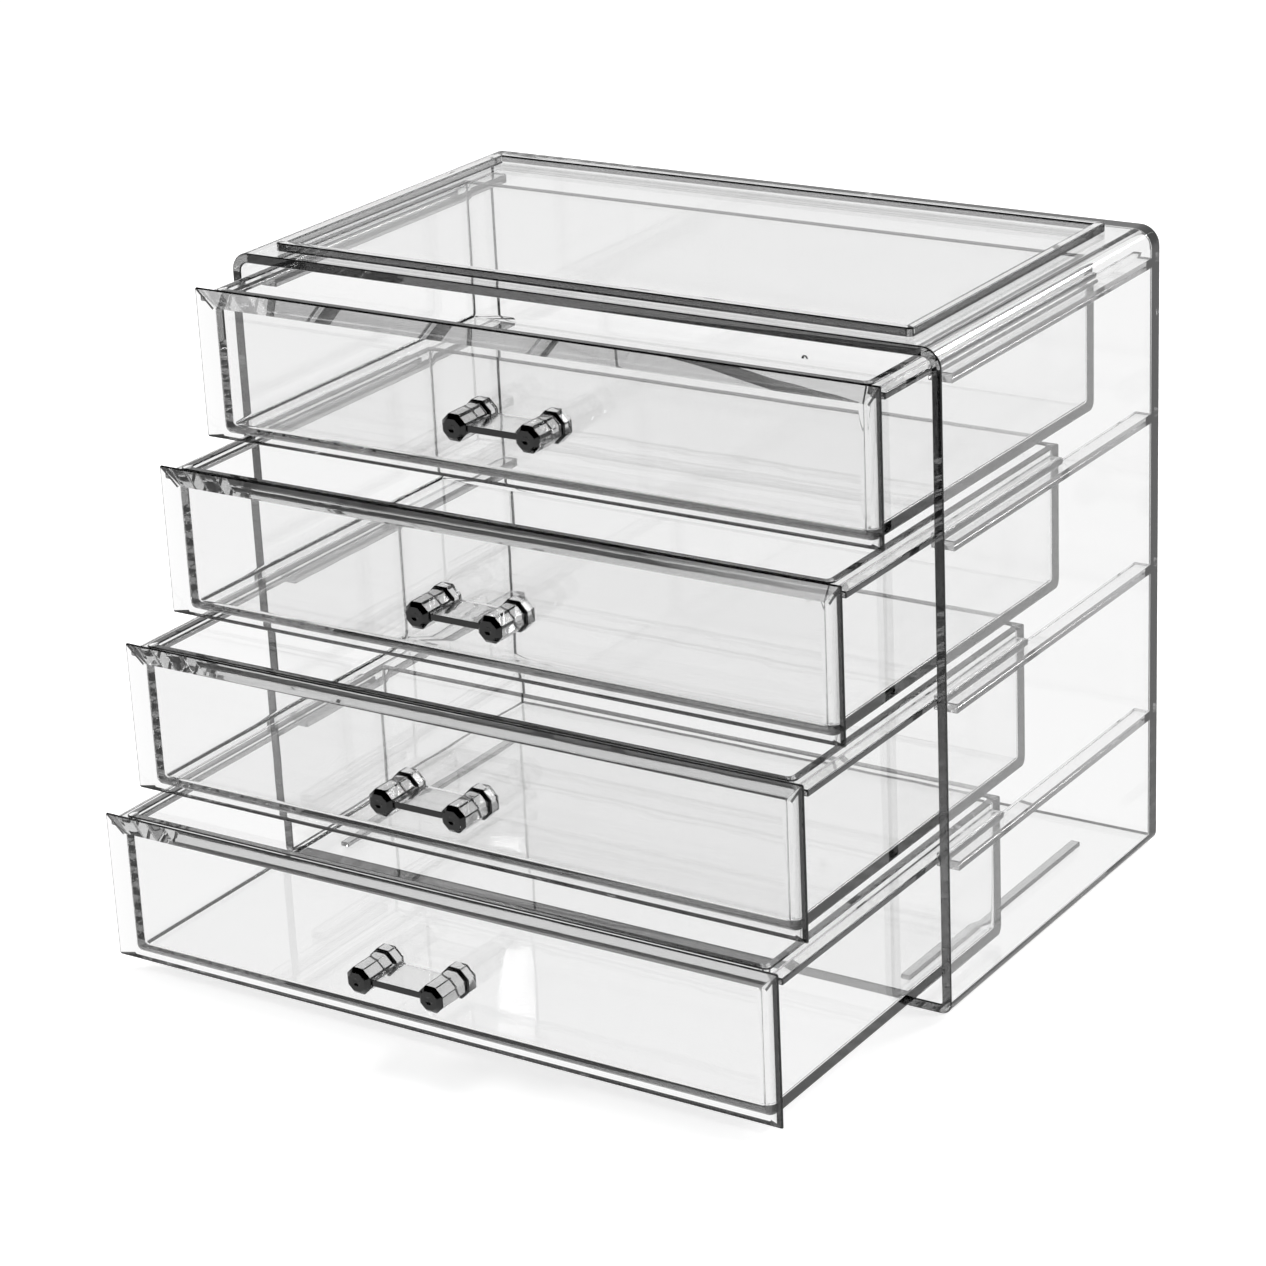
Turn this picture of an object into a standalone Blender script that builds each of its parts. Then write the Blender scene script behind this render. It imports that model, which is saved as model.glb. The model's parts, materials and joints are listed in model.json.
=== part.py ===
# Clear acrylic organizer with four drawers: a sleeve-shaped case with a back panel,
# a low rim round the top, runners on the side walls, and four drawers that hang on them.
# Metres, +Z up. The origin is the centre of the case's underside and the front faces -Y.

import bmesh
import bpy
from math import cos, pi, radians
from mathutils import Matrix, Vector

# Case
CASE_WIDTH = 0.240
CASE_DEPTH = 0.135
CASE_HEIGHT = 0.198
CASE_WALL = 0.003
CASE_TOP_RADIUS = 0.006
CASE_BOTTOM_RADIUS = 0.0035
BACK_THICKNESS = 0.003

# Rim round the top
RIM_SIDE_SETBACK = 0.012
RIM_FRONT_SETBACK = 0.006
RIM_BACK_SETBACK = 0.011
RIM_WALL = 0.003
RIM_HEIGHT = 0.0022
RIM_CORNER_RADIUS = 0.0015

# Drawer fronts
FRONT_THICKNESS = 0.0032
FRONT_SIDE_CLEARANCE = 0.002
FRONT_SPACING = 0.002
FRONT_LIFT = 0.0008
FRONT_EDGE_CHAMFER = 0.0004

# Drawer boxes, open at the top
BOX_WALL = 0.0025
BOX_FLOOR = 0.0025
BOX_SIDE_INSET = 0.0047
BOX_TOP_INSET = 0.001
BOX_BACK_CLEARANCE = 0.0005
BOX_BACK_BOTTOM_RADIUS = 0.003
BOX_SIDE_EDGE_RADIUS = 0.0006
CAVITY_BACK_RADIUS = 0.0015
CAVITY_BOTTOM_RADIUS = 0.0012

# Flange along each side of a box, and the runner under it
FLANGE_WIDTH = 0.0043
FLANGE_THICKNESS = 0.002
FLANGE_DROP = 0.0017
FLANGE_BACK_SETBACK = 0.006
RUNNER_WIDTH = 0.0054
RUNNER_THICKNESS = 0.0029
RUNNER_FRONT_SETBACK = 0.008
RUNNER_END_RADIUS = 0.002

# Ribs on the case floor, under the lowest drawer
RIB_WIDTH = 0.003
RIB_HEIGHT = 0.001
RIB_END_RADIUS = 0.001
RIB_SIDE_SETBACK = 0.017
RIB_FRONT_SETBACK = 0.0065
RIB_BACK_SETBACK = 0.020

# Handle: two eight-sided posts joined by a flat bar, a little below the middle of the front
HANDLE_DROP = 0.0012
POST_SPACING = 0.0248
POST_ACROSS_FLATS = 0.008
POST_LENGTH = 0.017
POST_CHAMFER = 0.0013
POST_DIMPLE_RADIUS = 0.0013
POST_DIMPLE_DEPTH = 0.0009
POST_SIDES = 8
COLLAR_ACROSS_FLATS = 0.0093
COLLAR_LENGTH = 0.0042
COLLAR_CHAMFER = 0.0004
GROOVE_WIDTH = 0.0007
GROOVE_DEPTH = 0.0004
BAR_THICKNESS = 0.002
BAR_BACK_GAP = 0.002
BAR_FRONT_SETBACK = 0.0018

# How far each drawer is pulled out, top to bottom
DRAWER_1_OPEN = 0.024
DRAWER_2_OPEN = 0.047
DRAWER_3_OPEN = 0.0695
DRAWER_4_OPEN = 0.0855
DRAWER_OPENINGS = (DRAWER_1_OPEN, DRAWER_2_OPEN, DRAWER_3_OPEN, DRAWER_4_OPEN)
DRAWER_COUNT = len(DRAWER_OPENINGS)

# Glue line or running contact between pieces, and how far cutters run past what they cut
JOINT_GAP = 0.0003
CUT_OVERRUN = 0.004
MERGE_DISTANCE = 0.00001

CORNER_SEGMENTS = 4
SMALL_CORNER_SEGMENTS = 2
SIDES = ((-1, "left"), (1, "right"))

# Places worked out from the sizes above. Those of a drawer are measured from its slide's
# empty, which is at the middle of the front's foot, level with the floor of its place.
FRONT_Y = -CASE_DEPTH / 2
BACK_Y = CASE_DEPTH / 2
INNER_HALF_WIDTH = CASE_WIDTH / 2 - CASE_WALL
INNER_BACK_Y = BACK_Y - BACK_THICKNESS
LEVEL_HEIGHT = (CASE_HEIGHT - 2 * CASE_WALL) / DRAWER_COUNT

FRONT_HALF_WIDTH = INNER_HALF_WIDTH - FRONT_SIDE_CLEARANCE
FRONT_TOP = LEVEL_HEIGHT - FRONT_SPACING + FRONT_LIFT
BOX_HALF_WIDTH = FRONT_HALF_WIDTH - BOX_SIDE_INSET
BOX_FRONT = FRONT_THICKNESS + JOINT_GAP
BOX_BACK = INNER_BACK_Y - BOX_BACK_CLEARANCE - FRONT_Y
BOX_BOTTOM = RIB_HEIGHT + 2 * JOINT_GAP
BOX_TOP = FRONT_TOP - BOX_TOP_INSET
FLANGE_TOP = BOX_TOP - FLANGE_DROP
FLANGE_BOTTOM = FLANGE_TOP - FLANGE_THICKNESS
RUNNER_TOP = FLANGE_BOTTOM - JOINT_GAP
HANDLE_Z = (FRONT_LIFT + FRONT_TOP) / 2 - HANDLE_DROP


def new_collection(name):
    collection = bpy.data.collections.new(name)
    bpy.context.scene.collection.children.link(collection)
    return collection


def clear_plastic(name, colour, roughness):
    material = bpy.data.materials.new(name)
    material.use_nodes = True
    shader = material.node_tree.nodes["Principled BSDF"]
    shader.inputs["Base Color"].default_value = (*colour, 1.0)
    shader.inputs["Roughness"].default_value = roughness
    shader.inputs["Metallic"].default_value = 0.0
    shader.inputs["IOR"].default_value = 1.49
    shader.inputs["Transmission Weight"].default_value = 1.0
    return material


def add_block(name, low, high, collection):
    """A cuboid between two corners, which are measured from the object's origin."""
    low, high = Vector(low), Vector(high)
    bpy.ops.mesh.primitive_cube_add(size=1, location=(0, 0, 0))
    block = bpy.context.object
    block.name = block.data.name = name
    block.data.transform(Matrix.Translation((low + high) / 2) @ Matrix.Diagonal((*(high - low), 1)))
    for old in list(block.users_collection):
        old.objects.unlink(block)
    collection.objects.link(block)
    return block


def add_cutter(name, low, high, collection):
    cutter = add_block(name, low, high, collection)
    cutter.hide_render = True
    cutter.display_type = "WIRE"
    return cutter


def round_edges(block, radius, segments, chosen):
    """Round the edges whose two ends satisfy chosen(a, b)."""
    if radius < MERGE_DISTANCE:
        return
    mesh = bmesh.new()
    mesh.from_mesh(block.data)
    edges = [edge for edge in mesh.edges if chosen(edge.verts[0].co, edge.verts[1].co)]
    bmesh.ops.bevel(mesh, geom=edges, offset=radius, offset_type="OFFSET", segments=segments,
                    profile=0.5, affect="EDGES", clamp_overlap=True)
    mesh.to_mesh(block.data)
    mesh.free()


def along(axis):
    """Picks the edges that run along one axis."""
    others = [i for i in range(3) if i != axis]
    return lambda a, b: all(abs(a[i] - b[i]) < MERGE_DISTANCE for i in others)


def add_boolean(target, cutter, operation):
    modifier = target.modifiers.new(cutter.name, "BOOLEAN")
    modifier.operation = operation
    modifier.solver = "EXACT"
    modifier.object = cutter


def finish_piece(piece, material, parent=None):
    piece.parent = parent
    piece.data.materials.clear()
    piece.data.materials.append(material)


def round_long_edges(block, inset):
    """Round the edges that run front to back as the case's are, this far further in."""
    runs_back = along(1)
    round_edges(block, CASE_TOP_RADIUS - inset, CORNER_SEGMENTS,
                lambda a, b: runs_back(a, b) and a.z > CASE_HEIGHT / 2)
    round_edges(block, CASE_BOTTOM_RADIUS - inset, SMALL_CORNER_SEGMENTS,
                lambda a, b: runs_back(a, b) and a.z < CASE_HEIGHT / 2)


def add_case_shell(parts, cutters, material):
    half = CASE_WIDTH / 2
    shell = add_block("case_shell", (-half, FRONT_Y, 0), (half, BACK_Y, CASE_HEIGHT), parts)
    round_long_edges(shell, 0)
    bore = add_cutter("case_bore", (-INNER_HALF_WIDTH, FRONT_Y - CUT_OVERRUN, CASE_WALL),
                      (INNER_HALF_WIDTH, BACK_Y + CUT_OVERRUN, CASE_HEIGHT - CASE_WALL), cutters)
    round_long_edges(bore, CASE_WALL)
    add_boolean(shell, bore, "DIFFERENCE")
    finish_piece(shell, material)


def add_back_panel(parts, material):
    half = INNER_HALF_WIDTH - JOINT_GAP
    inset = CASE_WALL + JOINT_GAP
    panel = add_block("back_panel", (-half, INNER_BACK_Y, inset), (half, BACK_Y, CASE_HEIGHT - inset), parts)
    round_long_edges(panel, inset)
    finish_piece(panel, material)


def add_top_rim(parts, cutters, material):
    """A low rectangular ring that makes a tray of the case's top."""
    half = CASE_WIDTH / 2 - RIM_SIDE_SETBACK
    front = FRONT_Y + RIM_FRONT_SETBACK
    back = BACK_Y - RIM_BACK_SETBACK
    seat = CASE_HEIGHT + JOINT_GAP
    rim = add_block("top_rim", (-half, front, seat), (half, back, seat + RIM_HEIGHT), parts)
    round_edges(rim, RIM_CORNER_RADIUS, SMALL_CORNER_SEGMENTS, along(2))
    well = add_cutter("rim_well", (-half + RIM_WALL, front + RIM_WALL, seat - CUT_OVERRUN),
                      (half - RIM_WALL, back - RIM_WALL, seat + RIM_HEIGHT + CUT_OVERRUN), cutters)
    add_boolean(rim, well, "DIFFERENCE")
    finish_piece(rim, material)


def place_floor(number):
    """Height of the floor of a drawer's place in the case; drawer 1 is the highest."""
    return CASE_WALL + LEVEL_HEIGHT * (DRAWER_COUNT - number)


def add_runner(number, side, name, parts, material):
    """A ledge along one side wall, with the free corner of its front end rounded."""
    wall = side * (INNER_HALF_WIDTH - JOINT_GAP)
    edge = side * (INNER_HALF_WIDTH - RUNNER_WIDTH)
    front = FRONT_Y + RUNNER_FRONT_SETBACK
    top = place_floor(number) + RUNNER_TOP
    runner = add_block(f"runner_{name}_{number}", (min(wall, edge), front, top - RUNNER_THICKNESS),
                       (max(wall, edge), INNER_BACK_Y - JOINT_GAP, top), parts)
    upright = along(2)
    round_edges(runner, RUNNER_END_RADIUS, CORNER_SEGMENTS,
                lambda a, b: upright(a, b) and a.y < front + MERGE_DISTANCE and abs(a.x - edge) < MERGE_DISTANCE)
    finish_piece(runner, material)


def add_floor_rib(side, name, parts, material):
    middle = side * (INNER_HALF_WIDTH - RIB_SIDE_SETBACK)
    bottom = CASE_WALL + JOINT_GAP
    rib = add_block(f"floor_rib_{name}", (middle - RIB_WIDTH / 2, FRONT_Y + RIB_FRONT_SETBACK, bottom),
                    (middle + RIB_WIDTH / 2, BACK_Y - RIB_BACK_SETBACK, bottom + RIB_HEIGHT), parts)
    round_edges(rib, RIB_END_RADIUS, SMALL_CORNER_SEGMENTS, along(2))
    finish_piece(rib, material)


def add_drawer_box(drawer, slide, parts, cutters, material):
    """Floor, two sides and back of a drawer, with a flange along each side near its top."""
    half = BOX_HALF_WIDTH
    upright = along(2)
    box = add_block(drawer + "_box", (-half, BOX_FRONT, BOX_BOTTOM), (half, BOX_BACK, BOX_TOP), parts)
    crosswise = along(0)
    round_edges(box, BOX_BACK_BOTTOM_RADIUS, CORNER_SEGMENTS,
                lambda a, b: crosswise(a, b) and a.z < BOX_BOTTOM + MERGE_DISTANCE and a.y > BOX_BACK - MERGE_DISTANCE)
    round_edges(box, BOX_SIDE_EDGE_RADIUS, SMALL_CORNER_SEGMENTS,
                lambda a, b: min(abs(a.x), abs(b.x)) > half - MERGE_DISTANCE and abs(a.x - b.x) < MERGE_DISTANCE
                and min(a.z, b.z) < BOX_TOP - MERGE_DISTANCE and max(a.y, b.y) > BOX_FRONT + MERGE_DISTANCE)
    for side, name in SIDES:
        inner = side * (half - BOX_WALL / 2)
        outer = side * (half + FLANGE_WIDTH)
        flange = add_cutter(f"{drawer}_flange_{name}", (min(inner, outer), BOX_FRONT, FLANGE_BOTTOM),
                            (max(inner, outer), BOX_BACK - FLANGE_BACK_SETBACK, FLANGE_TOP), cutters)
        flange.parent = slide
        add_boolean(box, flange, "UNION")
    cavity = add_cutter(drawer + "_cavity",
                        (-half + BOX_WALL, BOX_FRONT - CUT_OVERRUN, BOX_BOTTOM + BOX_FLOOR),
                        (half - BOX_WALL, BOX_BACK - BOX_WALL, BOX_TOP + CUT_OVERRUN), cutters)
    round_edges(cavity, CAVITY_BACK_RADIUS, SMALL_CORNER_SEGMENTS,
                lambda a, b: upright(a, b) and a.y > BOX_FRONT)
    round_edges(cavity, CAVITY_BOTTOM_RADIUS, SMALL_CORNER_SEGMENTS,
                lambda a, b: max(a.z, b.z) < BOX_TOP and max(a.y, b.y) > BOX_FRONT)
    cavity.parent = slide
    add_boolean(box, cavity, "DIFFERENCE")
    finish_piece(box, material, slide)


def add_drawer_front(drawer, slide, parts, material):
    front = add_block(drawer + "_front", (-FRONT_HALF_WIDTH, 0, FRONT_LIFT),
                      (FRONT_HALF_WIDTH, FRONT_THICKNESS, FRONT_TOP), parts)
    chamfer = front.modifiers.new("edge_chamfer", "BEVEL")
    chamfer.width = FRONT_EDGE_CHAMFER
    chamfer.segments = 1
    finish_piece(front, material, slide)


def post_profile():
    """Radius and height along a post's axis, from the middle of its tip down to its foot."""
    to_corner = 1 / cos(pi / POST_SIDES)
    body = POST_ACROSS_FLATS / 2 * to_corner
    collar = COLLAR_ACROSS_FLATS / 2 * to_corner
    groove = body - GROOVE_DEPTH
    foot = JOINT_GAP
    collar_end = foot + COLLAR_LENGTH
    groove_end = collar_end + GROOVE_WIDTH
    return [
        (0, POST_LENGTH - POST_DIMPLE_DEPTH),
        (POST_DIMPLE_RADIUS, POST_LENGTH),
        (body - POST_CHAMFER, POST_LENGTH),
        (body, POST_LENGTH - POST_CHAMFER),
        (body, groove_end),
        (groove, groove_end),
        (groove, collar_end),
        (collar - COLLAR_CHAMFER, collar_end),
        (collar, collar_end - COLLAR_CHAMFER),
        (collar, foot + COLLAR_CHAMFER),
        (collar - COLLAR_CHAMFER, foot),
        (0, foot),
    ]


def add_handle_post(name, x, slide, parts, material):
    """A profile turned in eight steps, standing square to the drawer front with a flat on top."""
    turn = Matrix.Rotation(pi / POST_SIDES, 3, "Z")
    points = [turn @ Vector((radius, 0, height)) for radius, height in post_profile()]
    mesh = bpy.data.meshes.new(name)
    mesh.from_pydata(points, [(i, i + 1) for i in range(len(points) - 1)], [])
    post = bpy.data.objects.new(name, mesh)
    parts.objects.link(post)
    post.location = (x, 0, HANDLE_Z)
    post.rotation_euler = (radians(90), 0, 0)
    screw = post.modifiers.new("turned", "SCREW")
    screw.steps = screw.render_steps = POST_SIDES
    screw.use_merge_vertices = True
    screw.merge_threshold = MERGE_DISTANCE
    screw.use_smooth_shade = False
    finish_piece(post, material, slide)


def add_handle_bar(name, slide, parts, material):
    """A flat outline between the posts, narrower where it passes their collars."""
    wide = (POST_SPACING - POST_ACROSS_FLATS) / 2 - JOINT_GAP
    narrow = (POST_SPACING - COLLAR_ACROSS_FLATS) / 2 - JOINT_GAP
    front = -POST_LENGTH + BAR_FRONT_SETBACK
    step = -COLLAR_LENGTH - 2 * JOINT_GAP
    half_outline = [(wide, front), (wide, step), (narrow, step), (narrow, -BAR_BACK_GAP)]
    outline = half_outline + [(-x, y) for x, y in reversed(half_outline)]
    curve = bpy.data.curves.new(name, "CURVE")
    curve.dimensions = "2D"
    curve.fill_mode = "BOTH"
    curve.extrude = BAR_THICKNESS / 2
    spline = curve.splines.new("POLY")
    spline.points.add(len(outline) - 1)
    for point, (x, y) in zip(spline.points, outline):
        point.co = (x, y, 0, 1)
    spline.use_cyclic_u = True
    bar = bpy.data.objects.new(name, curve)
    parts.objects.link(bar)
    bar.location = (0, 0, HANDLE_Z)
    finish_piece(bar, material, slide)


def add_drawer(number, opening, parts, cutters, clear_material, handle_material):
    drawer = f"drawer_{number}"
    slide = bpy.data.objects.new(drawer + "_slide", None)
    slide.empty_display_size = FRONT_HALF_WIDTH
    slide.location = (0, FRONT_Y - opening, place_floor(number))
    parts.objects.link(slide)
    add_drawer_box(drawer, slide, parts, cutters, clear_material)
    add_drawer_front(drawer, slide, parts, clear_material)
    for side, name in SIDES:
        add_handle_post(f"{drawer}_post_{name}", side * POST_SPACING / 2, slide, parts, handle_material)
    add_handle_bar(drawer + "_handle_bar", slide, parts, clear_material)


def main():
    for old in list(bpy.data.objects):
        bpy.data.objects.remove(old, do_unlink=True)
    parts = new_collection("acrylic_drawer_organizer")
    cutters = new_collection("cutters")

    case_plastic = clear_plastic("clear_case_acrylic", (0.97, 0.98, 0.98), 0.02)
    runner_plastic = clear_plastic("clear_runner_acrylic", (0.95, 0.96, 0.96), 0.04)
    drawer_plastic = clear_plastic("clear_drawer_acrylic", (0.97, 0.97, 0.97), 0.02)
    handle_plastic = clear_plastic("faceted_post_acrylic", (0.93, 0.94, 0.94), 0.01)

    add_case_shell(parts, cutters, case_plastic)
    add_back_panel(parts, case_plastic)
    add_top_rim(parts, cutters, case_plastic)
    for side, name in SIDES:
        add_floor_rib(side, name, parts, runner_plastic)
        for number in range(1, DRAWER_COUNT + 1):
            add_runner(number, side, name, parts, runner_plastic)
    for number, opening in enumerate(DRAWER_OPENINGS, start=1):
        add_drawer(number, opening, parts, cutters, drawer_plastic, handle_plastic)


main()
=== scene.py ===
import json
from math import cos, pi, radians, sin, sqrt

import bmesh
import bpy
from mathutils import Matrix, Vector

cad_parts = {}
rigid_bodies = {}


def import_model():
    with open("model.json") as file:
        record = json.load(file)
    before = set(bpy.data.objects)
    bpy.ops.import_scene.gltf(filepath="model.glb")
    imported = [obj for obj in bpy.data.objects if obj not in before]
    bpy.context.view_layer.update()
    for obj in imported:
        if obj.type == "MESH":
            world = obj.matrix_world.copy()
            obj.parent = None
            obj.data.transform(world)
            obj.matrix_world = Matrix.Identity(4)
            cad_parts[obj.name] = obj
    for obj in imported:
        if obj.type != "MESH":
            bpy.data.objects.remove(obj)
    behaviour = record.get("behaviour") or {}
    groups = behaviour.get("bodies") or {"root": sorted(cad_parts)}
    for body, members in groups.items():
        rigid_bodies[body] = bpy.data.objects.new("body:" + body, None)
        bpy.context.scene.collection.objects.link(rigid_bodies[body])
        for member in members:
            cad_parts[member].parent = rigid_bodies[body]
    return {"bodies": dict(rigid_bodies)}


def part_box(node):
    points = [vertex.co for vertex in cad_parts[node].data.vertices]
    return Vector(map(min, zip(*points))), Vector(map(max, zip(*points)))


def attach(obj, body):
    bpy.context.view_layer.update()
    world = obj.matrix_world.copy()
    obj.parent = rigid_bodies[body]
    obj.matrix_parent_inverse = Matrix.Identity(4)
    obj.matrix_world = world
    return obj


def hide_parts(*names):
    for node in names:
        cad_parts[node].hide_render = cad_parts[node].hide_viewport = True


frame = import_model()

# Clear acrylic organizer with four drawers on a white studio floor.
# Every piece is one closed body of clear plastic, because the plastic is welded without air gaps.

mm = 0.001
tiny = 0.01 * mm
leastRadius = 0.05 * mm
creaseAngle = radians(35)
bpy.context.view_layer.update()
caseLow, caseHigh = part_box("case_shell")
sides = (("left", -1), ("right", 1))
drawerCount = sum(name.startswith("drawer_") for name in frame["bodies"])


# Small tools for meshes

def addBlock(name, low, high):
    mesh = bpy.data.meshes.new(name)
    block = bmesh.new()
    bmesh.ops.create_cube(block, size=1)
    size = Vector(high) - Vector(low)
    middle = (Vector(high) + Vector(low)) / 2
    stretch = Matrix.Translation(middle) @ Matrix.Diagonal((*size, 1))
    bmesh.ops.transform(block, matrix=stretch, verts=block.verts)
    block.to_mesh(mesh)
    block.free()
    piece = bpy.data.objects.new(name, mesh)
    bpy.context.scene.collection.objects.link(piece)
    return piece


def roundBlock(name, low, high, radius, steps=4):
    # A block with the same small radius on all its edges
    piece = addBlock(name, low, high)
    shape = bmesh.new()
    shape.from_mesh(piece.data)
    bmesh.ops.bevel(shape, geom=shape.edges[:], offset=radius, offset_type="OFFSET", segments=steps,
                    profile=0.5, affect="EDGES", clamp_overlap=True)
    shape.to_mesh(piece.data)
    shape.free()
    return piece


def arc(middle, radius, start, end, steps):
    # Points on part of a circle, with the angles in degrees
    turns = [radians(start + (end - start) * i / steps) for i in range(steps + 1)]
    return [(middle[0] + radius * cos(t), middle[1] + radius * sin(t)) for t in turns]


def roundedOutline(low, high, radii, steps):
    # Counterclockwise from the lower right corner, with one radius for each corner in that order
    corners = ((high[0], low[1]), (high[0], high[1]), (low[0], high[1]), (low[0], low[1]))
    points = []
    for i, (corner, radius) in enumerate(zip(corners, radii)):
        radius = max(radius, leastRadius)
        inX = -radius if corner[0] == high[0] else radius
        inY = -radius if corner[1] == high[1] else radius
        points += arc((corner[0] + inX, corner[1] + inY), radius, 90 * i - 90, 90 * i, steps)
    return points


def loft(name, rings, loop=False):
    # Skins rings of equally many points; the ends are capped, or joined to each other in a loop
    shape = bmesh.new()
    made = [[shape.verts.new(point) for point in ring] for ring in rings]
    pairs = list(zip(made, made[1:])) + ([(made[-1], made[0])] if loop else [])
    for lower, upper in pairs:
        for i in range(len(lower)):
            j = (i + 1) % len(lower)
            shape.faces.new((lower[i], lower[j], upper[j], upper[i]))
    if not loop:
        shape.faces.new(made[0])
        shape.faces.new(made[-1])
    bmesh.ops.recalc_face_normals(shape, faces=shape.faces)
    mesh = bpy.data.meshes.new(name)
    shape.to_mesh(mesh)
    shape.free()
    piece = bpy.data.objects.new(name, mesh)
    bpy.context.scene.collection.objects.link(piece)
    return piece


def weld(piece, others):
    # Boolean steps are applied one after the other, and the other pieces are dropped
    for other in others:
        step = piece.modifiers.new(other.name, "BOOLEAN")
        step.operation = "UNION"
        step.solver = "EXACT"
        step.object = other
    bpy.context.view_layer.update()
    evaluated = piece.evaluated_get(bpy.context.evaluated_depsgraph_get())
    mesh = bpy.data.meshes.new_from_object(evaluated)
    mesh.name = piece.name
    piece.modifiers.clear()
    piece.data = mesh
    for other in others:
        bpy.data.objects.remove(other)
    return piece


def polish(piece, edgeRadius=0.0):
    # Flat faces stay optically flat, rounded edges shade smooth, inward corners stay sharp
    shape = bmesh.new()
    shape.from_mesh(piece.data)
    weight = shape.edges.layers.float.new("bevel_weight_edge") if edgeRadius else None
    for face in shape.faces:
        face.smooth = True
    for edge in shape.edges:
        steep = edge.calc_face_angle(0) > creaseAngle
        if edgeRadius and steep and edge.is_convex:
            edge[weight] = 1.0
        else:
            edge.smooth = not steep
    shape.to_mesh(piece.data)
    shape.free()
    if edgeRadius:
        bevel = piece.modifiers.new("edgeRadius", "BEVEL")
        bevel.width = edgeRadius
        bevel.segments = 3
        bevel.limit_method = "WEIGHT"
        bevel.use_clamp_overlap = False
    flat = piece.modifiers.new("flatFaces", "WEIGHTED_NORMAL")
    flat.mode = "FACE_AREA"
    flat.weight = 100
    flat.keep_sharp = True


# Where the painted shade goes: narrow strips and edge bands of the sheets, and the handles' tips and narrow
# facets
paintedShadeLimits = {
    "cornerWidth": 0.26 * mm,
    "bandLeast": 1.0 * mm,
    "bandMost": 3.3 * mm,
    "bandArea": 20 * mm ** 2,
    "facetWidth": 1.5 * mm,
    "downwardTilt": -0.3,                 # parts of a face normal's length
    "sidewardTilt": 0.1,
    "tipTilt": -0.5,
}


def faceWidth(piece, face):
    corners = [piece.data.vertices[i].co for i in face.vertices]
    return face.area / max((a - b).length for a, b in zip(corners, corners[1:] + corners[:1]))


def sheetPaintedShade(piece, face):
    # 0 for a broad clear face, 1 for the band along a sheet's edge, which gets grey painted shade, 2 for
    # its rounded corners, which get near-black painted shade; narrow strips facing down stay clear
    width = faceWidth(piece, face)
    lower = face.normal.z < paintedShadeLimits["downwardTilt"] and abs(face.normal.x) < paintedShadeLimits["sidewardTilt"]
    if width < paintedShadeLimits["cornerWidth"]:
        return 0 if lower else 2
    isBand = paintedShadeLimits["bandLeast"] < width < paintedShadeLimits["bandMost"] and face.area > paintedShadeLimits["bandArea"]
    isRim = face.center.z > caseHigh.z
    outward = face.normal.x * face.center.x + face.normal.y * face.center.y > tiny
    return 1 if isBand and (outward or not isRim) else 0


def handlePaintedShade(piece, face):
    # The tip that faces the hand and the narrow facets get near-black painted shade
    isTip = face.normal.y < paintedShadeLimits["tipTilt"]
    return 2 if isTip or faceWidth(piece, face) < paintedShadeLimits["facetWidth"] else 0


def dress(piece, body, materials, look, replaced):
    piece.data.materials.clear()
    for material in materials:
        piece.data.materials.append(material)
    for face in piece.data.polygons:
        # Each face gets the clear material or one with grey or near-black painted shade
        face.material_index = look(piece, face)
    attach(piece, body)
    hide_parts(*replaced)


# Materials

def toLinear(hexColour):
    channels = [int(hexColour[i:i + 2], 16) / 255 for i in (1, 3, 5)]
    return tuple(c / 12.92 if c <= 0.04045 else ((c + 0.055) / 1.055) ** 2.4 for c in channels) + (1.0,)


def addNode(tree, kind, settings=None, links=None):
    # settings: input or property name to value; links: input name to another node's output
    node = tree.nodes.new(kind)
    for name, value in (settings or {}).items():
        if isinstance(name, int) or name in node.inputs:
            node.inputs[name].default_value = value
        else:
            setattr(node, name, value)
    for name, output in (links or {}).items():
        tree.links.new(output, node.inputs[name])
    return node


def clearPlastic(look, part):
    material = bpy.data.materials.new(look["name"] + part)
    material.use_nodes = True
    tree = material.node_tree
    tree.nodes.clear()
    place = addNode(tree, "ShaderNodeTexCoord")
    # Slow swell left in the surface by the mould or the sheet casting
    swell = addNode(tree, "ShaderNodeTexNoise", {"Scale": 1 / look["swellSize"], "Detail": 1.0},
                    {"Vector": place.outputs["Object"]})
    swellBump = addNode(tree, "ShaderNodeBump", {"Strength": 1.0, "Distance": look["swellHeight"]},
                        {"Height": swell.outputs["Fac"]})
    # White for the broad faces; the band and corner base colours are painted shade, grey and near-black,
    # for the dark edges that refraction gives clear plastic
    shader = addNode(tree, "ShaderNodeBsdfPrincipled", {
        "Base Color": toLinear(look["colour" + part]),
        "Roughness": look["roughness"],
        "IOR": look["ior"],
        "Transmission Weight": 1.0,
    }, {"Normal": swellBump.outputs["Normal"]})
    depth = addNode(tree, "ShaderNodeVolumeAbsorption", {
        "Color": toLinear(look["depthColour"]),
        "Density": look["depthDensity"],
    })
    addNode(tree, "ShaderNodeOutputMaterial", None,
            {"Surface": shader.outputs["BSDF"], "Volume": depth.outputs["Volume"]})
    return material


def clearPlastics(look):
    # One plastic as three materials: clear for its broad faces, grey painted shade for the bands along its
    # edges, near-black painted shade for its rounded corners
    return [clearPlastic(look, part) for part in ("Face", "PaintedShadeBand", "Corner")]


# Cast PMMA sheet, folded and solvent-welded: glass-clear faces; its edges are darkened by painted shade,
# grey on the bands and near-black on the rounded corners
caseAcrylic = clearPlastics({
    "name": "castAcrylicSheet",
    "colourFace": "#ffffff",
    # Grey band and near-black corner colours: painted shade along the sheet's edges
    "colourPaintedShadeBand": "#888888",
    "colourCorner": "#181818",
    "roughness": 0.0,
    "ior": 1.49,
    "swellSize": 40 * mm,
    "swellHeight": 0.02 * mm,
    "depthColour": "#f0f0f0",
    "depthDensity": 60.0,
})

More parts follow.
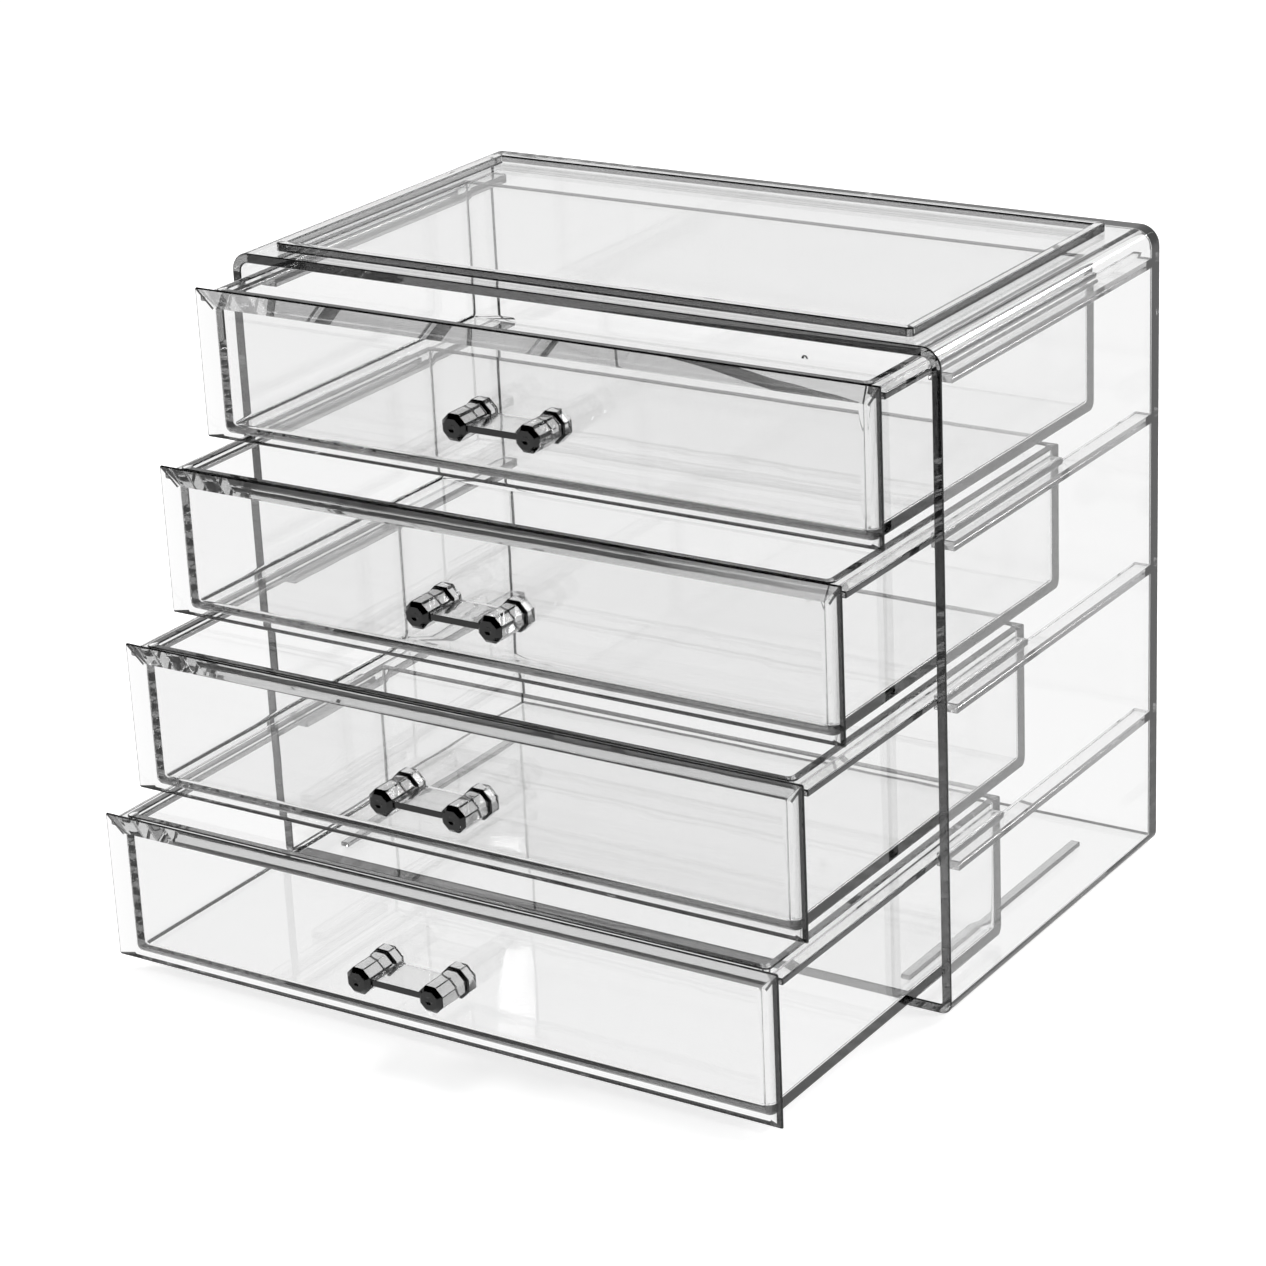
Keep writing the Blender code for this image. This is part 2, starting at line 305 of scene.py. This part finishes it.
# Injection-moulded PMMA: the same clearness and the same painted shade on edge bands and corners, with a
# little more swell in the faces
drawerAcrylic = clearPlastics({
    "name": "mouldedAcrylic",
    "colourFace": "#ffffff",
    # Grey band and near-black corner colours: painted shade along the drawer's edges
    "colourPaintedShadeBand": "#808080",
    "colourCorner": "#202020",
    "roughness": 0.0,
    "ior": 1.49,
    "swellSize": 25 * mm,
    "swellHeight": 0.03 * mm,
    "depthColour": "#f0f0f0",
    "depthDensity": 75.0,
})

# Moulded handle with polished facets: small, thick and strongly refracting; near-black painted shade on its
# tip and narrow facets, and a heavy grey absorption inside that is painted shade as well
handleAcrylic = clearPlastics({
    "name": "facetedAcrylic",
    "colourFace": "#ffffff",
    # The band colour goes unused on the handle; the near-black corner colour is painted shade on its tip
    # and narrow facets
    "colourPaintedShadeBand": "#808080",
    "colourCorner": "#101010",
    "roughness": 0.0,
    "ior": 1.49,
    "swellSize": 6 * mm,
    "swellHeight": 0.01 * mm,
    "depthColour": "#f0f0f0",
    # Heavy grey absorption: painted shade that darkens the clear handle
    "depthDensity": 300.0,
})
print("materials made")


# Case: sleeve, back, runners, floor ribs and top rim, welded into one clear body

caseForm = {
    "wall": 3.0 * mm,
    "topRadius": 6.0 * mm,
    "bottomRadius": 3.5 * mm,
    "innerBackRadius": 0.6 * mm,
    "edgeRadius": 0.35 * mm,
    "cornerSteps": 10,
    "rimWall": 3.0 * mm,
    "rimCorner": 1.5 * mm,
    "rimEdge": 0.4 * mm,
    "rimSteps": 6,
    "smallEdge": 0.25 * mm,
    "weldOverlap": 1.0 * mm,
    "gateRadius": 1.5 * mm,               # the mark that the mould's gate leaves on the back panel
    "gateHeight": 0.25 * mm,
    "gateRise": 143 * mm,
    "gateHollow": 0.05 * mm,
    "gateShares": (0.8, 0.5, 0.3),        # of its radius: crest, mouth and floor of the hollow
}


def caseRing(y, inset):
    # One section of the sleeve, this far inside its outer face
    low = (caseLow.x + inset, caseLow.z + inset)
    high = (caseHigh.x - inset, caseHigh.z - inset)
    top = caseForm["topRadius"] - inset
    bottom = caseForm["bottomRadius"] - inset
    outline = roundedOutline(low, high, (bottom, top, top, bottom), caseForm["cornerSteps"])
    return [(x, y, z) for x, z in outline]


def buildSleeve():
    wall = caseForm["wall"]
    edge = caseForm["edgeRadius"]
    inner = caseForm["innerBackRadius"]
    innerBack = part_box("back_panel")[0].y
    profile = arc((edge, caseHigh.y - edge), edge, 90, 180, 4)
    profile += arc((edge, caseLow.y + edge), edge, 180, 270, 4)
    profile += arc((wall - edge, caseLow.y + edge), edge, 270, 360, 4)
    profile += arc((wall + inner, innerBack - inner), inner, 180, 90, 4)
    return loft("clearCase", [caseRing(y, inset) for inset, y in profile])


def buildRim():
    low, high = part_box("top_rim")
    seat = caseHigh.z - caseForm["weldOverlap"]
    edge = caseForm["rimEdge"]
    wall = caseForm["rimWall"]
    profile = [(0, seat)] + arc((edge, high.z - edge), edge, 180, 90, 3)
    profile += arc((wall - edge, high.z - edge), edge, 90, 0, 3) + [(wall, seat)]
    rings = []
    for inset, z in profile:
        radius = caseForm["rimCorner"] - inset
        outline = roundedOutline((low.x + inset, low.y + inset), (high.x - inset, high.y - inset),
                                 (radius,) * 4, caseForm["rimSteps"])
        rings.append([(x, y, z) for x, y in outline])
    return loft("rim", rings, loop=True)


def buildGateMark():
    radius = caseForm["gateRadius"]
    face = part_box("back_panel")[0].y
    tip = face - caseForm["gateHeight"]
    hollow = face - caseForm["gateHollow"]
    crest, mouth, floor = (share * radius for share in caseForm["gateShares"])
    profile = ((face + caseForm["weldOverlap"], radius), (face, radius),
               (tip, crest), (tip, mouth), (hollow, floor))
    return loft("gateMark", [[(x, y, z) for x, z in arc((0, caseForm["gateRise"]), ring, 0, 345, 23)]
                             for y, ring in profile])


def buildCase():
    into = caseForm["weldOverlap"]
    edge = caseForm["smallEdge"]
    case = buildSleeve()
    welded = [buildRim(), buildGateMark()]
    for name, side in sides:
        low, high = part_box(f"floor_rib_{name}")
        welded.append(roundBlock("rib", (low.x, low.y, low.z - into), high, edge))
        for number in range(1, drawerCount + 1):
            low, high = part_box(f"runner_{name}_{number}")
            low.x -= into if side < 0 else 0
            high.x += into if side > 0 else 0
            welded.append(roundBlock("runner", low, (high.x, high.y + into, high.z), edge))
    weld(case, welded)
    polish(case)
    dress(case, "case", caseAcrylic, sheetPaintedShade,
          ["case_shell", "back_panel", "top_rim", "floor_rib_left", "floor_rib_right"]
          + [f"runner_{name}_{n}" for name, side in sides for n in range(1, drawerCount + 1)])


buildCase()
print("case made")


# Drawers: front plate and box welded into one clear body

drawerForm = {
    "wall": 2.5 * mm,
    "floor": 2.5 * mm,
    "flangeWidth": 4.3 * mm,
    "flangeThickness": 2.0 * mm,
    "flangeDrop": 1.7 * mm,
    "flangeBackSetback": 6.0 * mm,
    "sideEdgeRadius": 0.6 * mm,
    "bottomRadius": 3.0 * mm,             # along the tray's lower front and back edges
    "sideSteps": 4,
    "bottomSteps": 10,
    "frontCorner": 2.0 * mm,
    "innerCorner": 1.5 * mm,
    "innerRadius": 1.2 * mm,
    "cornerSteps": 6,
    "plateEdge": 0.4 * mm,
    "plateCorner": 0.5 * mm,
    "plateRim": 0.45 * mm,                # what is left of the thickness at the bevelled ends and top
    "sideBevel": 4.7 * mm,
    "topBevel": 6.3 * mm,
    "edgeRadius": 0.35 * mm,
    "weldDepth": 0.05 * mm,
}


def roundInset(rise, radius):
    # How far a rounded edge still lies inside its side, this far above its foot
    return radius - sqrt(radius ** 2 - (radius - min(rise, radius)) ** 2)


def quarterRises(radius, steps):
    # Heights above its foot of the points on a quarter round
    return [radius * (1 - cos(pi / 2 * i / steps)) for i in range(steps + 1)]


def buildTray(low, high, front):
    # An open vessel; its front wall is welded to the flat part of the plate's back
    form = drawerForm
    wall = form["wall"]
    edge = form["edgeRadius"]
    inner = form["innerRadius"]
    floor = low.z + form["floor"]
    side = form["sideEdgeRadius"]
    reach = form["bottomRadius"]
    rises = quarterRises(side, form["sideSteps"])
    rises += [rise for rise in quarterRises(reach, form["bottomSteps"]) if rise > side + tiny]
    outer = (side, form["frontCorner"])
    profile = [(roundInset(rise, side), roundInset(rise, reach), low.z + rise, outer) for rise in rises]
    profile += [(x, x, z, outer) for x, z in arc((edge, high.z - edge), edge, 180, 90, 4)]
    within = (form["innerCorner"] + wall,) * 2
    profile += [(x, x, z, within) for x, z in arc((wall - edge, high.z - edge), edge, 90, 0, 4)]
    profile += [(x, x, z, within) for x, z in arc((wall + inner, floor + inner), inner, 180, 270, 6)]
    outerFront = front - form["weldDepth"]
    half = high.x - form["flangeWidth"]
    rings = []
    for inset, endInset, z, (backCorner, frontCorner) in profile:
        back = backCorner - inset
        ahead = frontCorner - inset
        outline = roundedOutline((-half + inset, outerFront + endInset), (half - inset, high.y - endInset),
                                 (ahead, back, back, ahead), form["cornerSteps"])
        rings.append([(x, y, z) for x, y in outline])
    return loft("tray", rings)


def buildPlate(name, low, high):
    # Flat in front; behind, its two ends and its top are bevelled down to a thin rim
    form = drawerForm
    edge = form["plateEdge"]
    layers = [(low.y + depth, inset, inset, inset) for inset, depth in arc((edge, edge), edge, 270, 180, 3)]
    layers.append((low.y + form["plateRim"], 0, 0, 0))
    layers.append((high.y, form["sideBevel"], form["topBevel"], edge))
    rings = []
    for y, side, top, bottom in layers:
        outline = roundedOutline((low.x + side, low.z + bottom), (high.x - side, high.z - top),
                                 (form["plateCorner"],) * 4, 3)
        rings.append([(x, y, z) for x, z in outline])
    return loft(name, rings)


def buildDrawer(number):
    form = drawerForm
    body = f"drawer_{number}"
    plateLow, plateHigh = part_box(body + "_front")
    low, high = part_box(body + "_box")
    half = high.x - form["flangeWidth"]
    front = plateHigh.y
    drawer = buildPlate(f"clearDrawer{number}", plateLow, plateHigh)
    welded = [buildTray(low, high, front)]
    flangeTop = high.z - form["flangeDrop"]
    for name, side in sides:
        left, right = sorted((side * (half - form["wall"] / 2), side * high.x))
        foot = (left, front - form["weldDepth"], flangeTop - form["flangeThickness"])
        head = (right, high.y - form["flangeBackSetback"], flangeTop)
        welded.append(roundBlock("flange", foot, head, form["edgeRadius"]))
    weld(drawer, welded)
    polish(drawer)
    dress(drawer, body, drawerAcrylic, sheetPaintedShade, [body + "_box", body + "_front"])


# Handles: two eight-sided posts and the flat bar between them, moulded in one

handleForm = {
    "sides": 8,
    "collarLength": 4.2 * mm,
    "collarChamfer": 0.4 * mm,
    "bodyAcross": 8.0 * mm,
    "collarAcross": 9.3 * mm,
    "grooveWidth": 0.7 * mm,
    "grooveDepth": 0.4 * mm,
    "tipChamfer": 1.3 * mm,
    "dimpleRadius": 1.3 * mm,
    "dimpleDepth": 0.9 * mm,
    "edgeRadius": 0.12 * mm,
}


def buildPost(low, high):
    form = handleForm
    toCorner = 1 / cos(pi / form["sides"])
    body = form["bodyAcross"] / 2 * toCorner
    collar = form["collarAcross"] / 2 * toCorner
    length = high.y - low.y
    collarEnd = form["collarLength"]
    grooveEnd = collarEnd + form["grooveWidth"]
    profile = [
        (0, length - form["dimpleDepth"]),
        (form["dimpleRadius"], length),
        (body - form["tipChamfer"], length),
        (body, length - form["tipChamfer"]),
        (body, grooveEnd),
        (body - form["grooveDepth"], grooveEnd),
        (body - form["grooveDepth"], collarEnd),
        (collar - form["collarChamfer"], collarEnd),
        (collar, collarEnd - form["collarChamfer"]),
        (collar, form["collarChamfer"]),
        (collar - form["collarChamfer"], 0),
        (0, 0),
    ]
    turned = bmesh.new()
    start = [turned.verts.new((radius, 0, height)) for radius, height in profile]
    edges = [turned.edges.new(pair) for pair in zip(start, start[1:])]
    bmesh.ops.spin(turned, geom=start + edges, cent=(0, 0, 0), axis=(0, 0, 1), angle=2 * pi,
                   steps=form["sides"], use_merge=True)
    bmesh.ops.remove_doubles(turned, verts=turned.verts, dist=tiny)
    bmesh.ops.recalc_face_normals(turned, faces=turned.faces)
    middle = (low + high) / 2
    stand = Matrix.Translation((middle.x, high.y, middle.z)) @ Matrix.Rotation(radians(90), 4, "X")
    halfStep = Matrix.Rotation(pi / form["sides"], 4, "Z")
    bmesh.ops.transform(turned, matrix=stand @ halfStep, verts=turned.verts)
    mesh = bpy.data.meshes.new("post")
    turned.to_mesh(mesh)
    turned.free()
    post = bpy.data.objects.new("post", mesh)
    bpy.context.scene.collection.objects.link(post)
    return post


def buildHandle(number):
    body = f"drawer_{number}"
    posts = [buildPost(*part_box(f"{body}_post_{name}")) for name, side in sides]
    low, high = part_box(f"{body}_handle_bar")
    reach = handleForm["bodyAcross"] / 4
    bar = addBlock("bar", (low.x - reach, low.y, low.z), (high.x + reach, high.y, high.z))
    handle = posts[0]
    handle.name = f"clearHandle{number}"
    weld(handle, [bar, posts[1]])
    polish(handle, handleForm["edgeRadius"])
    dress(handle, body, handleAcrylic, handlePaintedShade,
          [f"{body}_handle_bar", f"{body}_post_left", f"{body}_post_right"])


for drawerNumber in range(1, drawerCount + 1):
    buildDrawer(drawerNumber)
    buildHandle(drawerNumber)
print("drawers and handles made")


# Studio: white floor, white backdrop, soft lamps

studio = {
    "floorSize": 12.0,
    "floorDrop": 0.3 * mm,
    "floorGlow": 0.75,
    "floorColour": "#e8e8e8",
    "backdrop": 1.0,
    "backdropTop": 0.5,                   # heights in the sky run from 0 at the horizon to 1 overhead
    "backdropFade": 0.15,
    "frontLower": 0.5,                   # how much lower the white ends on the side that the drawers face
    "darkSky": 0.0,
    "sideLeast": 0.2,                     # the lowering runs between these parts of the way toward +Y
    "sideMost": -0.4,
}


def addFloor():
    mesh = bpy.data.meshes.new("floor")
    sheet = bmesh.new()
    bmesh.ops.create_grid(sheet, x_segments=1, y_segments=1, size=studio["floorSize"] / 2)
    sheet.to_mesh(mesh)
    sheet.free()
    floor = bpy.data.objects.new("floor", mesh)
    floor.location.z = -studio["floorDrop"]
    bpy.context.scene.collection.objects.link(floor)
    material = bpy.data.materials.new("whiteStudioSheet")
    material.use_nodes = True
    tree = material.node_tree
    tree.nodes.clear()
    ray = addNode(tree, "ShaderNodeLightPath")
    through = addNode(tree, "ShaderNodeMath", {"operation": "MAXIMUM"},
                      {0: ray.outputs["Is Glossy Ray"], 1: ray.outputs["Is Transmission Ray"]})
    paper = addNode(tree, "ShaderNodeBsdfDiffuse", {"Color": toLinear(studio["floorColour"])})
    glow = addNode(tree, "ShaderNodeEmission", {"Strength": studio["floorGlow"]})
    lit = addNode(tree, "ShaderNodeAddShader", None, {0: paper.outputs[0], 1: glow.outputs[0]})
    white = addNode(tree, "ShaderNodeEmission", {"Strength": 1.0})
    mix = addNode(tree, "ShaderNodeMixShader", None,
                  {0: through.outputs[0], 1: lit.outputs[0], 2: white.outputs[0]})
    addNode(tree, "ShaderNodeOutputMaterial", None, {"Surface": mix.outputs[0]})
    mesh.materials.append(material)


def addWorld():
    # White all round at the horizon, higher up behind the case than in front of it, and dark overhead
    world = bpy.data.worlds.new("studio")
    bpy.context.scene.world = world
    world.use_nodes = True
    tree = world.node_tree
    tree.nodes.clear()
    place = addNode(tree, "ShaderNodeTexCoord")
    way = addNode(tree, "ShaderNodeSeparateXYZ", None, {"Vector": place.outputs["Generated"]})
    ahead = addNode(tree, "ShaderNodeMapRange", {
        "From Min": studio["sideLeast"], "From Max": studio["sideMost"],
        "To Min": 0.0, "To Max": studio["frontLower"],
        "interpolation_type": "SMOOTHSTEP",
    }, {"Value": way.outputs["Y"]})
    height = addNode(tree, "ShaderNodeMath", {"operation": "ADD"},
                     {0: way.outputs["Z"], 1: ahead.outputs["Result"]})
    level = addNode(tree, "ShaderNodeMapRange", {
        "From Min": studio["backdropTop"], "From Max": studio["backdropTop"] + studio["backdropFade"],
        "To Min": studio["backdrop"], "To Max": studio["darkSky"], "interpolation_type": "SMOOTHSTEP",
    }, {"Value": height.outputs[0]})
    ray = addNode(tree, "ShaderNodeLightPath")
    seen = addNode(tree, "ShaderNodeMath", {"operation": "MAXIMUM"},
                   {0: ray.outputs["Is Camera Ray"], 1: level.outputs["Result"]})
    sky = addNode(tree, "ShaderNodeBackground", None, {"Strength": seen.outputs[0]})
    addNode(tree, "ShaderNodeOutputWorld", None, {"Surface": sky.outputs[0]})


softboxes = (
    {"name": "topSoftbox", "at": (-0.3, 0.2, 1.5), "size": (0.9, 0.6), "power": 10.0, "mirrored": False},
    {"name": "leftSoftbox", "at": (-1.3, -0.6, 0.9), "size": (0.5, 0.9), "power": 8.0, "mirrored": False},
    {"name": "rightSoftbox", "at": (1.4, 0.5, 0.8), "size": (0.4, 0.9), "power": 6.0, "mirrored": False},
    {"name": "rearSoftbox", "at": (0.6, 1.25, 0.95), "size": (0.3, 0.3), "power": 6.0, "mirrored": True},
)


def addSoftbox(box):
    lamp = bpy.data.lights.new(box["name"], "AREA")
    lamp.shape = "RECTANGLE"
    lamp.size, lamp.size_y = box["size"]
    lamp.energy = box["power"]
    holder = bpy.data.objects.new(box["name"], lamp)
    bpy.context.scene.collection.objects.link(holder)
    aim = Vector((0, 0, 0.1)) - Vector(box["at"])
    holder.location = box["at"]
    holder.rotation_euler = aim.to_track_quat("-Z", "Y").to_euler()
    holder.visible_glossy = box["mirrored"]
    holder.visible_transmission = box["mirrored"]


addFloor()
addWorld()
for softbox in softboxes:
    addSoftbox(softbox)
print("studio made")


# Camera, fitted to the case's edges in the photograph

photo = {
    "width": 1266,                        # pixels
    "middleX": 644.0,                     # where the lens axis meets the picture
    "middleY": 633.5,
    "focalPixels": 3742.6,
    "at": (0.5777, -0.9058, 0.4905),
    "azimuth": 33.572,                    # degrees
    "elevation": 21.217,
    "roll": -2.711,
}


def addCamera():
    lens = bpy.data.cameras.new("camera")
    lens.sensor_fit = "HORIZONTAL"
    lens.sensor_width = 36
    lens.lens = photo["focalPixels"] / photo["width"] * lens.sensor_width
    lens.shift_x = (photo["width"] / 2 - photo["middleX"]) / photo["width"]
    lens.shift_y = (photo["middleY"] - photo["width"] / 2) / photo["width"]
    lens.clip_start = 0.05
    lens.clip_end = 50
    camera = bpy.data.objects.new("camera", lens)
    bpy.context.scene.collection.objects.link(camera)
    turn = Matrix.Rotation(radians(photo["azimuth"]), 4, "Z")
    tip = Matrix.Rotation(radians(90 - photo["elevation"]), 4, "X")
    roll = Matrix.Rotation(radians(photo["roll"]), 4, "Z")
    camera.matrix_world = Matrix.Translation(photo["at"]) @ turn @ tip @ roll
    bpy.context.scene.camera = camera


addCamera()

scene = bpy.context.scene
scene.view_settings.view_transform = "Standard"
# Clear plastic behind clear plastic needs many bounces before the light leaves it
scene.cycles.max_bounces = 40
scene.cycles.transmission_bounces = 40
scene.cycles.glossy_bounces = 40
scene.cycles.transparent_max_bounces = 16
scene.cycles.diffuse_bounces = 2
